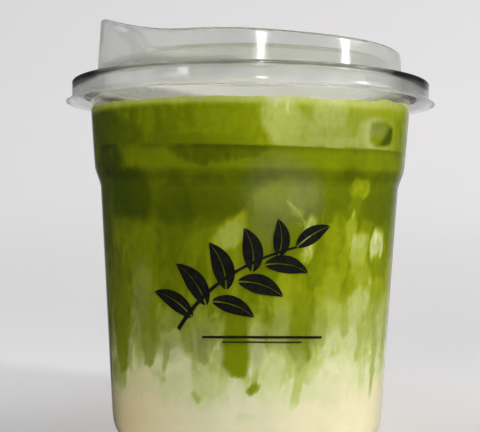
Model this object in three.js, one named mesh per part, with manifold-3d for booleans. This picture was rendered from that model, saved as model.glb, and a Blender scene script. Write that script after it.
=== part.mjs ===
// An iced matcha latte in a clear takeaway cup with a strawless sip lid.
// Millimetres, +Z up, origin at the centre of the base on the table, -Y is the front and the spout of the lid points to -X.
// Nodes: cup, lid, milk, matcha, froth.
import * as THREE from "three";
import { mergeVertices } from "three/addons/utils/BufferGeometryUtils.js";
import Module from "manifold-3d";

// ---- driving dimensions --------------------------------------------------
const SEGMENTS = 44; // facets round the cup and the lid
const DRINK_SEGMENTS = 64; // facets round the drink
const CLEARANCE = 0.3; // gap kept between neighbouring pieces

const CUP_WALL = 0.6;
const BASE_PUSH_UP = 2.2; // the base's middle is pushed up inside its foot ring
const PUSH_UP_R = 29.0;
const FOOT_INNER_R = 32.0;
const FOOT_OUTER_R = 36.3;
const HEEL = [
  { r: 38.2, z: 1.5 },
  { r: 39.25, z: 4.6 },
];
const SHOULDER_LOW = { r: 42.9, z: 71.0 }; // where the straight body ends
const SHOULDER_MID = { r: 43.75, z: 73.2 };
const SHOULDER_HIGH = { r: 44.5, z: 75.4 }; // top of the stacking step
const NECK = { r: 45.85, z: 94.8 }; // where the rolled rim begins
const RIM_ROLL = { r: 47.1, z: 97.1, radius: 1.9 }; // centre and radius of the roll: 98 mm over all

const LID_WALL = 0.5;
const LID_TOP_Z = 99.55; // middle of the sheet over the cup's rim
const DOME_BASE_R = 43.2;
const DOME_DRAFT = 0.058; // how far the dome's wall leans in for each millimetre of height
const SPOUT_BULGE = 0.6; // the wall stands out by this much more under the spout
const LIP_Z = 107.8; // top of the lip at the back of the drinking side
const LIP_SIDE_RISE = 0.9; // the lip is this much higher past the middle
const SPOUT_RISE = 8.8; // and sweeps up by this much more at the spout
const FLOOR_Z = 105.0; // the recessed floor
const RIDGE_WIDTH = 4.0;
const RECESS = { x: 12.3, r: 46.8 }; // the floor ends at this wide arc, and the raised spout begins
const PLATEAU_DROP = 0.95; // top of the spout under its lip
const SIP_HOLE = { x: -37.9, length: 12, width: 4.6 };
const VENT = { x: 30, r: 0.9 };

const MILK_MEAN_Z = 29; // where milk and matcha meet, on average
const LAYER_LINE_Z = 80.5; // underside of the froth
const LAYER_TILT = 0.022; // it falls by this much for each millimetre to the right
const FROTH_TOP_Z = 92.0;

// ---- helpers -------------------------------------------------------------
const wasm = await Module();
wasm.setup();

const V = (r, z) => new THREE.Vector2(r, z);
const lerp = THREE.MathUtils.lerp;

// A path moved sideways by d, to the left of its own direction.
function offset(path, d) {
  return path.map((p, i) => {
    const a = path[Math.max(i - 1, 0)];
    const b = path[Math.min(i + 1, path.length - 1)];
    const u = p.clone().sub(a).normalize();
    const v = b.clone().sub(p).normalize();
    if (i === 0) u.copy(v);
    if (i === path.length - 1) v.copy(u);
    const n = V(-(u.y + v.y), u.x + v.x).normalize();
    const miter = 1 / Math.max(0.6, n.dot(V(-u.y, u.x)));
    return p.clone().addScaledVector(n, d * miter);
  });
}

// A lathed solid whose profile may change with the angle: profileAt(angle) gives the same number of points each time.
function lathe(profileAt, segments) {
  const first = profileAt(0);
  const geometry = new THREE.LatheGeometry(first, segments);
  geometry.rotateX(Math.PI / 2); // the lathe's axis is now +Z
  const position = geometry.getAttribute("position");
  for (let s = 0; s <= segments; s++) {
    const angle = ((s % segments) / segments) * 2 * Math.PI;
    const profile = profileAt(angle);
    profile.forEach((p, i) => {
      position.setXYZ(
        s * profile.length + i,
        p.x * Math.cos(angle),
        p.x * Math.sin(angle),
        p.y,
      );
    });
  }
  return closed(geometry);
}

function closed(geometry) {
  const bare = geometry.index ? geometry.toNonIndexed() : geometry.clone();
  for (const name of Object.keys(bare.attributes))
    if (name !== "position") bare.deleteAttribute(name);
  const merged = mergeVertices(bare, 1e-3);
  const kept = [];
  const index = merged.index.array;
  for (let i = 0; i < index.length; i += 3) {
    const [a, b, c] = [index[i], index[i + 1], index[i + 2]];
    if (a !== b && b !== c && c !== a) kept.push(a, b, c);
  }
  merged.setIndex(kept);
  return merged;
}

function toSolid(geometry) {
  const g = closed(geometry);
  return new wasm.Manifold(
    new wasm.Mesh({
      numProp: 3,
      vertProperties: g.getAttribute("position").array,
      triVerts: new Uint32Array(g.index.array),
    }),
  );
}

function fromSolid(solid) {
  const m = solid.getMesh();
  const v = new Float32Array(m.numVert * 3);
  for (let i = 0; i < m.numVert; i++)
    v.set(m.vertProperties.subarray(i * m.numProp, i * m.numProp + 3), i * 3);
  return new THREE.BufferGeometry()
    .setAttribute("position", new THREE.BufferAttribute(v, 3))
    .setIndex(new THREE.BufferAttribute(new Uint32Array(m.triVerts), 1));
}

// ---- cup -----------------------------------------------------------------
// Part of the rim's roll, counted from its outermost point.
function roll(radius, from, to, steps) {
  return Array.from({ length: steps + 1 }, (_, i) => {
    const a = lerp(from, to, i / steps);
    return V(
      RIM_ROLL.r + radius * Math.cos(a),
      RIM_ROLL.z + radius * Math.sin(a),
    );
  });
}

const BODY = [...HEEL, SHOULDER_LOW, SHOULDER_MID, SHOULDER_HIGH, NECK];

function cupProfile() {
  const quarter = Math.PI / 2;
  const outside = [
    V(0, BASE_PUSH_UP),
    V(PUSH_UP_R, BASE_PUSH_UP),
    V(FOOT_INNER_R, 0),
    V(FOOT_OUTER_R, 0),
    ...BODY.map((p) => V(p.r, p.z)),
  ];
  // the roll's hidden inner face, then its outer face
  const inner = roll(RIM_ROLL.radius - CUP_WALL, 2.5 * quarter, -0.75 * quarter, 5);
  inner[0].set(NECK.r + 0.15, NECK.z + 1.2);
  const outer = roll(RIM_ROLL.radius, -0.75 * quarter, 1.8 * quarter, 5);
  const inside = [
    ...[...BODY].reverse().map((p) => V(p.r - CUP_WALL, p.z)),
    V(FOOT_OUTER_R - 0.4, CUP_WALL + 0.1),
    V(FOOT_INNER_R + 0.4, CUP_WALL + 0.1),
    V(PUSH_UP_R + 0.4, BASE_PUSH_UP + CUP_WALL + 0.1),
    V(0, BASE_PUSH_UP + CUP_WALL + 0.1),
  ];
  inside[inside.length - 5].y += 0.2;
  return [...outside, ...inner, ...outer, ...inside];
}

// Inside radius of the cup at a height, for what fills it.
function cupInsideAt(z) {
  let k = 0;
  while (k < BODY.length - 2 && z > BODY[k + 1].z) k++;
  const [a, b] = [BODY[k], BODY[k + 1]];
  const t = THREE.MathUtils.clamp((z - a.z) / (b.z - a.z), 0, 1);
  return lerp(a.r, b.r, t) - CUP_WALL;
}

// ---- lid -----------------------------------------------------------------
const domeR = (z) => DOME_BASE_R - DOME_DRAFT * (z - LID_TOP_Z);
// 0 to 1 along the floor or the lip towards the spout, from where each begins to climb
const climb = (x, from, over, power) =>
  Math.max(0, (-x - from) / over) ** power;
const lipZ = (x) =>
  LIP_Z +
  LIP_SIDE_RISE * THREE.MathUtils.smoothstep(-x, -20, 14) +
  SPOUT_RISE * climb(x, 13, 29.5, 2.3);
// Radius at which the recessed floor ends, at an angle.
function recessR(angle, footR) {
  const y = RECESS.x * Math.sin(angle);
  return Math.min(footR, RECESS.x * Math.cos(angle) + Math.sqrt(RECESS.r ** 2 - y * y));
}

// The middle of the lid's sheet, from the edge of the flange to the centre of the floor.
function lidPath(angle) {
  const c = Math.cos(angle);
  const lip = lipZ(42.6 * c);
  const out = SPOUT_BULGE * THREE.MathUtils.smoothstep(-c, 0.3, 1);
  const topR = domeR(lip) + out;
  const footR = topR - RIDGE_WIDTH;
  const wallR = recessR(angle, footR);
  const t = THREE.MathUtils.smoothstep(footR - wallR, 0, 3); // 0 at the plain ridge, 1 at the spout
  const drop = lip - FLOOR_Z;
  const waist = lerp(LID_TOP_Z, lip, 0.5);
  return [
    V(52.5, 93.9),
    V(51.4, 94.3),
    V(50.7, 94.95),
    V(50.55, 95.8),
    V(50.6, 97.4),
    V(50.65, 98.9),
    V(50.45, 99.4),
    V(49.7, LID_TOP_Z + 0.05),
    V(46.2, LID_TOP_Z),
    V(44.9 + 0.7 * out, 99.0),
    V(44.3 + 0.8 * out, 98.2),
    V(43.7 + out, 98.3),
    V(DOME_BASE_R + 0.05 + out, 99.6),
    V(domeR(waist) + out, waist),
    V(topR, lip - 1.0),
    V(topR - 0.9, lip - 0.05),
    V(topR - 2.0, lip - lerp(0.2 * drop, 0.75, t)),
    V(lerp(topR - 2.6, wallR + 1.5, t), lip - lerp(0.6 * drop, PLATEAU_DROP, t)),
    V(lerp(topR - 3.2, wallR + 0.5, t), lip - lerp(0.92 * drop, PLATEAU_DROP + 1.6, t)),
    V(wallR - 0.1, FLOOR_Z + 0.15),
    V(wallR - 1.0, FLOOR_Z),
    V(16, FLOOR_Z),
    V(0, FLOOR_Z),
  ];
}

function lidProfile(angle) {
  const middle = lidPath(angle);
  const top = offset(middle, -LID_WALL / 2);
  const under = offset(middle, LID_WALL / 2);
  top[top.length - 1].x = 0;
  under[under.length - 1].x = 0;
  return [...under.reverse(), ...top];
}

// A slot with round ends along Y, or a round hole, standing through the panel.
function cutter(x, length, width, z0, z1) {
  const r = width / 2;
  const h = Math.max(0, length / 2 - r);
  const s = new THREE.Shape();
  s.absarc(0, h, r, 0, Math.PI, false);
  s.absarc(0, -h, r, Math.PI, 2 * Math.PI, false);
  s.closePath();
  const g = new THREE.ExtrudeGeometry(s, {
    depth: z1 - z0,
    bevelEnabled: false,
    curveSegments: 6,
  });
  g.translate(x, 0, z0);
  return toSolid(g);
}

function lidGeometry() {
  const body = toSolid(lathe(lidProfile, SEGMENTS));
  const sip = cutter(SIP_HOLE.x, SIP_HOLE.length, SIP_HOLE.width, 110, 122);
  const vent = cutter(VENT.x, VENT.r * 2, VENT.r * 2, 102, 108);
  return fromSolid(body.subtract(sip).subtract(vent));
}

// ---- drink ---------------------------------------------------------------
// Tongues of matcha that hang into the milk, and of milk that stand up between them. They follow the wall and fade towards the middle.
const TONGUES = 11;
function meetingZ(r, angle) {
  let z = 1.6 * Math.sin(2 * angle + 0.6) + 1.2 * Math.sin(5 * angle + 2.1);
  for (let k = 0; k < TONGUES; k++) {
    const at = ((k + 0.25 * Math.sin(7.3 * k + 1)) / TONGUES) * 2 * Math.PI;
    const width = 0.13 + 0.03 * Math.sin(3.1 * k);
    const drop = 8 + 3 * Math.sin(5.7 * k + 0.4);
    let d = angle - at;
    d -= 2 * Math.PI * Math.round(d / (2 * Math.PI));
    z -= drop * Math.exp(-((d / width) ** 2));
  }
  return MILK_MEAN_Z + 4 + (r / 39) ** 2 * z;
}
// The gap between the two grows towards the wall, where their meeting is steep.
const meetingGap = (r) => CLEARANCE * (1 + 3 * (r / 39) ** 2);
const layerZ = (r, angle) => LAYER_LINE_Z - LAYER_TILT * r * Math.cos(angle);
const frothZ = (r, angle) =>
  FROTH_TOP_Z +
  (r / 44) * (0.3 * Math.sin(3 * angle + 1) + 0.25 * Math.sin(5 * angle)) -
  0.4 * (1 - r / 44);

const inCup = (z) => cupInsideAt(z) - CLEARANCE;
const RINGS = [37, 29, 19, 9];

function milkProfile(angle) {
  const rim = meetingZ(39, angle);
  return [
    V(0, BASE_PUSH_UP + CUP_WALL + 0.4),
    V(PUSH_UP_R + 0.5, BASE_PUSH_UP + CUP_WALL + 0.4),
    V(FOOT_INNER_R + 0.8, CUP_WALL + 0.45),
    V(FOOT_OUTER_R - 0.6, CUP_WALL + 0.45),
    V(HEEL[0].r - CUP_WALL - 0.35, HEEL[0].z + 0.35),
    V(inCup(HEEL[1].z), HEEL[1].z + 0.1),
    V(inCup(rim), rim),
    ...RINGS.map((r) => V(r, meetingZ(r, angle))),
    V(0, meetingZ(0, 0)),
  ];
}

function matchaProfile(angle) {
  const low = (r) => meetingZ(r, angle) + meetingGap(r);
  const rim = low(39);
  const top = layerZ(43.5, angle);
  return [
    V(0, low(0)),
    ...[...RINGS].reverse().map((r) => V(r, low(r))),
    V(inCup(rim), rim),
    V(inCup(SHOULDER_LOW.z), SHOULDER_LOW.z + 0.1),
    V(inCup(SHOULDER_MID.z), SHOULDER_MID.z + 0.1),
    V(inCup(SHOULDER_HIGH.z), SHOULDER_HIGH.z + 0.1),
    V(inCup(top), top),
    V(0, LAYER_LINE_Z),
  ];
}

function frothProfile(angle) {
  const low = layerZ(43.5, angle) + CLEARANCE;
  const rim = frothZ(44, angle);
  return [
    V(0, LAYER_LINE_Z + CLEARANCE),
    V(inCup(low), low),
    V(inCup(rim), rim),
    V(30, frothZ(30, angle)),
    V(15, frothZ(15, angle)),
    V(0, frothZ(0, 0)),
  ];
}

// ---- scene ---------------------------------------------------------------
const clear = (color, opacity) =>
  new THREE.MeshStandardMaterial({
    color,
    roughness: 0.05,
    metalness: 0,
    transparent: true,
    opacity,
  });
const liquid = (color, roughness) =>
  new THREE.MeshStandardMaterial({ color, roughness, metalness: 0 });

function node(name, geometry, material) {
  geometry.computeVertexNormals();
  const mesh = new THREE.Mesh(geometry, material);
  mesh.name = name;
  return mesh;
}

const drink = new THREE.Group();
drink.add(
  node("milk", lathe(milkProfile, DRINK_SEGMENTS), liquid(0xece2b6, 0.35)),
  node("matcha", lathe(matchaProfile, DRINK_SEGMENTS), liquid(0x6f8412, 0.35)),
  node("froth", lathe(frothProfile, DRINK_SEGMENTS), liquid(0x8a9a18, 0.6)),
);

const latte = new THREE.Group();
latte.add(
  node("cup", lathe(cupProfile, SEGMENTS), clear(0xf2f5f2, 0.3)),
  node("lid", lidGeometry(), clear(0xf0f3f0, 0.3)),
  drink,
);

export default latte;
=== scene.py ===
import math

import bmesh
import bpy
import numpy as np
from mathutils import Matrix, Vector


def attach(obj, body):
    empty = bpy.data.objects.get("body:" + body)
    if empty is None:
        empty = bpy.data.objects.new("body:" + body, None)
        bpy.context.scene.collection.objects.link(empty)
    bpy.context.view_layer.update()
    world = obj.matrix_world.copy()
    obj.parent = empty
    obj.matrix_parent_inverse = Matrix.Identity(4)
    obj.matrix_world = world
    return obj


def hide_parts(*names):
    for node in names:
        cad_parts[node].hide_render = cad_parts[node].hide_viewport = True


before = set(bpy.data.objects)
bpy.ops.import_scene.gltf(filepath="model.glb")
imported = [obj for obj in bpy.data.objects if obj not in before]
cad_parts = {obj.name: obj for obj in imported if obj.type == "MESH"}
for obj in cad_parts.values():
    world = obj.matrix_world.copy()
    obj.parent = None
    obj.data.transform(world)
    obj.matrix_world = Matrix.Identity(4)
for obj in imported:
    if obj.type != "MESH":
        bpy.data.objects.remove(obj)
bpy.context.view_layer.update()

MM = 0.001

# ---------------------------------------------------------------- sizes, in millimetres, as in the CAD
CUP_WALL = 0.6
SEG = 240
HEEL = [(36.3, 0.0), (38.2, 1.5), (39.25, 4.6)]
SHOULDER = [(42.9, 71.0), (43.75, 73.2), (44.5, 75.4)]
NECK = (45.85, 94.8)
ROLL_R, ROLL_Z, ROLL = 47.1, 97.1, 1.6

LID_WALL = 0.5
LID_TOP_Z = 99.55
DOME_BASE_R, DOME_DRAFT, SPOUT_BULGE = 43.2, 0.058, 0.6
LIP_Z, LIP_SIDE_RISE, SPOUT_RISE = 107.8, 0.9, 8.8
FLOOR_Z = 105.0
RIDGE_WIDTH = 4.0
RECESS_X, RECESS_R, PLATEAU_DROP = 12.3, 46.8, 0.95
SIP_HOLE = dict(x=-37.9, length=12.0, width=4.6)
VENT = dict(x=30.0, r=0.9)

LAYER_LINE_Z, LAYER_TILT = 80.5, 0.022
FROTH_TOP_Z = 92.0
MILK_MEAN_Z = 29.0

# ---------------------------------------------------------------- the camera, fitted to the rim, the shoulder and the base
CAM_D, CAM_Z, CAM_F = 230.0, 70.6, 782.4
AXIS_X, HORIZON_Y = 248.7, 187.0


def camera():
    data = bpy.data.cameras.new("camera")
    data.sensor_width = 36.0
    data.lens = CAM_F / 480 * 36.0
    data.clip_start, data.clip_end = 0.01, 50
    cam = bpy.data.objects.new("camera", data)
    bpy.context.scene.collection.objects.link(cam)
    yaw = math.atan((AXIS_X - 240.0) / CAM_F)
    pitch = -math.atan((216.0 - HORIZON_Y) / CAM_F)
    m = Matrix.Rotation(yaw, 4, "Z") @ Matrix.Rotation(math.pi / 2 + pitch, 4, "X") @ Matrix.Rotation(math.radians(0.62), 4, "Z")
    cam.matrix_world = Matrix.Translation((0, -CAM_D * MM, CAM_Z * MM)) @ m
    bpy.context.scene.camera = cam


camera()


# ---------------------------------------------------------------- small helpers
def smoothstep(x, a, b):
    t = np.clip((np.asarray(x, float) - a) / (b - a), 0, 1)
    return t * t * (3 - 2 * t)


def lin(c):
    """An sRGB colour from 0 to 255 as linear light."""
    c = np.asarray(c, float) / 255
    return np.where(c <= 0.04045, c / 12.92, ((c + 0.055) / 1.055) ** 2.4)


_rng = np.random.default_rng(7)
_perm = np.concatenate([_rng.permutation(256)] * 3)
_grad = _rng.normal(size=(256, 3))
_grad /= np.linalg.norm(_grad, axis=1)[:, None]


def noise3(p):
    """Gradient noise from about -1 to 1 at the points p (n, 3)."""
    p = np.asarray(p, float)
    i = np.floor(p).astype(int)
    f = p - i
    u = f * f * f * (f * (f * 6 - 15) + 10)
    out = 0
    for dx in (0, 1):
        for dy in (0, 1):
            for dz in (0, 1):
                h = _perm[_perm[_perm[(i[:, 0] + dx) & 255] + ((i[:, 1] + dy) & 255)] + ((i[:, 2] + dz) & 255)]
                d = (_grad[h] * (f - (dx, dy, dz))).sum(1)
                w = (u[:, 0] if dx else 1 - u[:, 0]) * (u[:, 1] if dy else 1 - u[:, 1]) * (u[:, 2] if dz else 1 - u[:, 2])
                out = out + w * d
    return out * 1.6


def fbm(p, octaves=3, gain=0.5):
    p = np.asarray(p, float)
    total, amp, norm = 0, 1.0, 0.0
    for k in range(octaves):
        total = total + amp * noise3(p * 2**k + 17.3 * k)
        norm += amp
        amp *= gain
    return total / norm


def chaikin(path, rounds, keep_ends=True):
    path = np.asarray(path, float)
    for _ in range(rounds):
        a, b = path[:-1], path[1:]
        q = np.empty((2 * len(a), 2))
        q[0::2] = 0.75 * a + 0.25 * b
        q[1::2] = 0.25 * a + 0.75 * b
        path = np.vstack([path[:1], q[1:-1], path[-1:]])
    return path


def offset(path, d):
    path = np.asarray(path, float)
    t = np.gradient(path, axis=0)
    t /= np.maximum(np.linalg.norm(t, axis=1), 1e-9)[:, None]
    return path + d * np.stack([-t[:, 1], t[:, 0]], 1)


def mesh_object(name, verts, faces, smooth=True):
    me = bpy.data.meshes.new(name)
    me.from_pydata([tuple(v) for v in verts], [], faces)
    me.validate(clean_customdata=False)
    bm = bmesh.new()
    bm.from_mesh(me)
    bmesh.ops.recalc_face_normals(bm, faces=bm.faces)
    bm.to_mesh(me)
    bm.free()
    me.polygons.foreach_set("use_smooth", [smooth] * len(me.polygons))
    me.update()
    o = bpy.data.objects.new(name, me)
    bpy.context.scene.collection.objects.link(o)
    return o


def lathe(name, profile_at, seg=SEG):
    """A closed solid turned about Z. profile_at(angle) gives (n, 2) points, r and z, that start and end on the axis or close on themselves."""
    first = np.asarray(profile_at(0.0))
    n = len(first)
    axis0, axis1 = first[0][0] < 1e-6, first[-1][0] < 1e-6
    verts, faces = [], []
    for s in range(seg):
        a = 2 * math.pi * s / seg
        p = np.asarray(profile_at(a))
        for r, z in p:
            verts.append((r * math.cos(a) * MM, r * math.sin(a) * MM, z * MM))
    closed = not (axis0 and axis1)
    for s in range(seg):
        t = (s + 1) % seg
        for i in range(n if closed else n - 1):
            j = (i + 1) % n
            q = [s * n + i, t * n + i, t * n + j, s * n + j]
            if axis0 and i == 0:
                q = [0, t * n + j, s * n + j]
            elif axis1 and j == n - 1:
                q = [s * n + i, t * n + i, n - 1]
            faces.append(q)
    o = mesh_object(name, verts, faces)
    drop_loose(o)
    return o


def drop_loose(o):
    bm = bmesh.new()
    bm.from_mesh(o.data)
    bmesh.ops.delete(bm, geom=[v for v in bm.verts if not v.link_faces], context="VERTS")
    bm.to_mesh(o.data)
    bm.free()


def sharpen(o, degrees):
    o.data.set_sharp_from_angle(angle=math.radians(degrees))


# ---------------------------------------------------------------- cup and lid
def cup_outside():
    return [(29.0, 2.2), (32.0, 0.0), *HEEL, *SHOULDER, NECK]


_BODY = [(38.2, 1.5), (39.25, 4.6), *SHOULDER, NECK]
_BR, _BZ = np.array([p[0] for p in _BODY]), np.array([p[1] for p in _BODY])


def inside_r(z):
    return np.interp(z, _BZ, _BR) - CUP_WALL


def outside_r(z):
    return np.interp(z, _BZ, _BR)


def cup_profile():
    heel = [(39.25 + (42.9 - 39.25) * k / 10, 4.6 + (71.0 - 4.6) * k / 10) for k in range(1, 10)]
    outer = [(0, 2.2), (14, 2.2), (27.5, 2.2), (29.6, 2.1), (31.3, 0.35), (32.6, 0.0), (35.6, 0.0), (37.2, 0.35), (38.3, 1.5), (38.9, 3.0), (39.25, 4.9)]
    outer += heel
    outer += [(42.86, 70.2), (43.0, 71.1), (43.75, 73.2), (44.42, 75.2), (44.6, 76.2), (45.2, 84.5), (45.8, 94.0), (45.85, 94.9)]
    outer = chaikin(outer, 2)
    middle = outer + 0.0
    middle = offset(outer, CUP_WALL / 2)
    middle[0][0] = 0
    arc = [(ROLL_R + ROLL * math.cos(a), ROLL_Z + ROLL * math.sin(a)) for a in np.linspace(math.pi, -0.75 * math.pi / 2, 22)]
    middle = np.vstack([middle, [(45.52, 95.7)], arc])
    a = offset(middle, -CUP_WALL / 2)
    b = offset(middle, CUP_WALL / 2)
    a[0][0] = b[0][0] = 0
    # round nose at the roll's end
    end = middle[-1]
    t = middle[-1] - middle[-2]
    t /= np.linalg.norm(t)
    nose = [tuple(end + t * 0.22)]
    return np.vstack([a, nose, b[::-1]])


def climb(x, start, over, power):
    return max(0.0, (-x - start) / over) ** power


def lip_z(x):
    return LIP_Z + LIP_SIDE_RISE * float(smoothstep(-x, -20, 14)) + SPOUT_RISE * climb(x, 13, 29.5, 2.3)


def recess_r(angle, foot_r):
    y = RECESS_X * math.sin(angle)
    return min(foot_r, RECESS_X * math.cos(angle) + math.sqrt(RECESS_R**2 - y * y))


def dome_r(z):
    return DOME_BASE_R - DOME_DRAFT * (z - LID_TOP_Z)


def lid_path(angle):
    c = math.cos(angle)
    lip = lip_z(42.6 * c)
    out = SPOUT_BULGE * float(smoothstep(-c, 0.3, 1))
    top = dome_r(lip) + out
    foot_r = top - RIDGE_WIDTH
    wall_r_ = recess_r(angle, foot_r)
    t = float(smoothstep(foot_r - wall_r_, 0, 3))  # 0 at the plain ridge, 1 at the spout
    drop = lip - FLOOR_Z

    def mix(a, b, t):
        return a + (b - a) * t

    w1, w2 = mix(LID_TOP_Z, lip, 0.35), mix(LID_TOP_Z, lip, 0.7)
    return [
        (52.5, 93.9), (52.0, 94.0), (51.4, 94.3), (50.75, 94.95), (50.6, 95.8), (50.6, 97.3), (50.62, 98.7), (50.68, 99.1),
        (50.6, 99.4), (50.1, 99.62), (49.2, LID_TOP_Z + 0.05), (47.6, LID_TOP_Z), (46.2, LID_TOP_Z), (45.0 + 0.7 * out, 99.15), (44.45 + 0.8 * out, 98.3), (43.95 + 0.9 * out, 97.95), (43.5 + out, 98.3),
        (DOME_BASE_R + 0.05 + out, 99.6), (dome_r(w1) + out, w1), (dome_r(w2) + out, w2), (top + 0.03, lip - 0.8), (top - 0.1, lip - 0.22), (top - 0.65, lip + 0.0),
        (top - 1.6, lip - mix(0.25, 0.45, t)),
        (mix(top - 2.0, top - 2.4, t), lip - mix(0.25 * drop, PLATEAU_DROP - 0.1, t)),
        (mix(top - 2.5, wall_r_ + 1.9, t), lip - mix(0.55 * drop, PLATEAU_DROP, t)),
        (mix(top - 2.9, wall_r_ + 1.1, t), lip - mix(0.80 * drop, PLATEAU_DROP + 0.25, t)),
        (mix(top - 3.2, wall_r_ + 0.6, t), lip - mix(0.93 * drop, PLATEAU_DROP + 1.3, t)),
        (wall_r_ + 0.15, FLOOR_Z + mix(0.1, 0.9, t)),
        (wall_r_ - 0.3, FLOOR_Z + mix(0.03, 0.12, t)),
        (wall_r_ - 1.2, FLOOR_Z),
        *[(r, FLOOR_Z) for r in (31, 26, 20, 12, 5)],
        (0, FLOOR_Z),
    ]


def lid_profile(angle):
    mid = chaikin(lid_path(angle), 2)
    thick = np.full(len(mid), LID_WALL / 2)
    thick[:6] *= np.linspace(0.45, 1, 6)  # the trimmed edge of the flange is thinner
    top, under = offset(mid, -thick[:, None]), offset(mid, thick[:, None])
    top[-1] = (0, mid[-1][1] + LID_WALL / 2)
    under[-1] = (0, mid[-1][1] - LID_WALL / 2)
    return np.vstack([under[::-1], top])


def prism(name, outline, z0, z1):
    n = len(outline)
    verts = [(x * MM, y * MM, z * MM) for z in (z0, z1) for x, y in outline]
    faces = [list(range(n))[::-1], list(range(n, 2 * n))] + [[i, (i + 1) % n, n + (i + 1) % n, n + i] for i in range(n)]
    return mesh_object(name, verts, faces, False)


def cut(o, cutter):
    m = o.modifiers.new("cut", "BOOLEAN")
    m.operation, m.object, m.solver = "DIFFERENCE", cutter, "EXACT"
    dg = bpy.context.evaluated_depsgraph_get()
    me = bpy.data.meshes.new_from_object(o.evaluated_get(dg))
    o.modifiers.clear()
    old = o.data
    o.data = me
    bpy.data.meshes.remove(old)
    bpy.data.objects.remove(cutter)


def make_lid():
    o = lathe("lid_clear", lid_profile, 216)
    r, h = SIP_HOLE["width"] / 2, SIP_HOLE["length"] / 2 - SIP_HOLE["width"] / 2
    slot = [(SIP_HOLE["x"] + r * math.cos(a), h + r * math.sin(a)) for a in np.linspace(0, math.pi, 14)]
    slot += [(SIP_HOLE["x"] + r * math.cos(a), -h + r * math.sin(a)) for a in np.linspace(math.pi, 2 * math.pi, 14)]
    cut(o, prism("cutter", slot, 110, 122))
    vent = [(VENT["x"] + VENT["r"] * math.cos(a), VENT["r"] * math.sin(a)) for a in np.linspace(0, 2 * math.pi, 20, endpoint=False)]
    cut(o, prism("cutter2", vent, 102, 110))
    o.data.polygons.foreach_set("use_smooth", [True] * len(o.data.polygons))
    sharpen(o, 50)
    return o


# ---------------------------------------------------------------- drink: a field of colour round the cup and down it
TILT = math.radians(0.62)


def at(px, py):
    """(angle from the front, positive to the right, and height in mm) of the cup's wall at that pixel of the 480 by 432 picture."""
    x, y = px - 240, py - 216
    px = 240 + math.cos(TILT) * x + math.sin(TILT) * y
    py = 216 - math.sin(TILT) * x + math.cos(TILT) * y
    a = math.atan((px - AXIS_X) / CAM_F)
    z = 50.0
    for _ in range(25):
        r = float(outside_r(z))
        phi = math.asin(max(-1.0, min(1.0, CAM_D * math.sin(a) / r))) - a
        z = CAM_Z - (py - HORIZON_Y) * (CAM_D - r * math.cos(phi)) / CAM_F
    return phi, z


# The drink's colours under full light, from the deepest tea to plain milk
RAMP_AT = np.array([0.0, 0.15, 0.30, 0.45, 0.60, 0.75, 0.87, 1.0])
RAMP = np.array([lin(c) for c in ((28, 36, 0), (62, 74, 0), (94, 106, 0), (122, 134, 2), (150, 160, 16), (174, 182, 76), (202, 205, 148), (223, 215, 181))])
MILK_LEFT_SHADE = np.array([0.93, 0.88, 0.76])  # painted shade: the milk at the left, away from the lights, is darkened and warmed
PLAIN_BY_HEIGHT = ((10, 1.0), (14, 0.99), (18, 0.95), (23, 0.86), (28, 0.73), (34, 0.61), (40, 0.53), (46, 0.48), (52, 0.42), (60, 0.38), (66, 0.32), (71, 0.32), (75, 0.40), (80, 0.40))


def ramp(m):
    m = np.clip(m, 0, 1)
    return np.stack([np.interp(m, RAMP_AT, RAMP[:, k]) for k in range(3)], 1)


def across(phi, p0):
    """Distance round the wall from the angle p0, in mm."""
    d = (phi - p0) * 41.0
    turn = 2 * math.pi * 41.0
    return (d + turn / 2) % turn - turn / 2


def blob(phi, z, centre, half, lean=0.0, soft=0.5):
    """1 inside a soft-edged upright patch, 0 outside. half is half its width and height in mm, and lean how far its top leans to the right per mm of height."""
    dx = across(phi, centre[0]) - lean * (z - centre[1])
    dx = dx * max(0.42, math.cos(centre[0])) if abs(centre[0]) < 1.6 else dx
    d = np.sqrt((dx / half[0]) ** 2 + ((z - centre[1]) / half[1]) ** 2)
    return 1 - smoothstep(d, 1 - soft, 1 + soft)


def tongue(phi, z, p0, half_width, top, tip, wobble=0.3, taper=0.25):
    """1 inside a hanging tongue with a rounded tip, which fades upwards into what it hangs from."""
    dx = across(phi, p0) + wobble * np.sin(z * 0.33 + 9 * p0)
    dx = dx * max(0.5, math.cos(p0)) if abs(p0) < 1.6 else dx
    t = np.clip((z - tip) / max(1e-6, top - tip), 0, 1)
    w = half_width * (1 - taper * (1 - t)) * np.sqrt(np.clip((z - tip) / (1.3 * half_width), 0.02, 1))
    side = 1 - smoothstep(np.abs(dx), w * 0.62, w * 1.18 + 0.12)
    return side * smoothstep(z, tip - 0.2, tip + 0.8) * (1 - smoothstep(z, tip + 0.45 * (top - tip), top + 3))


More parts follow.
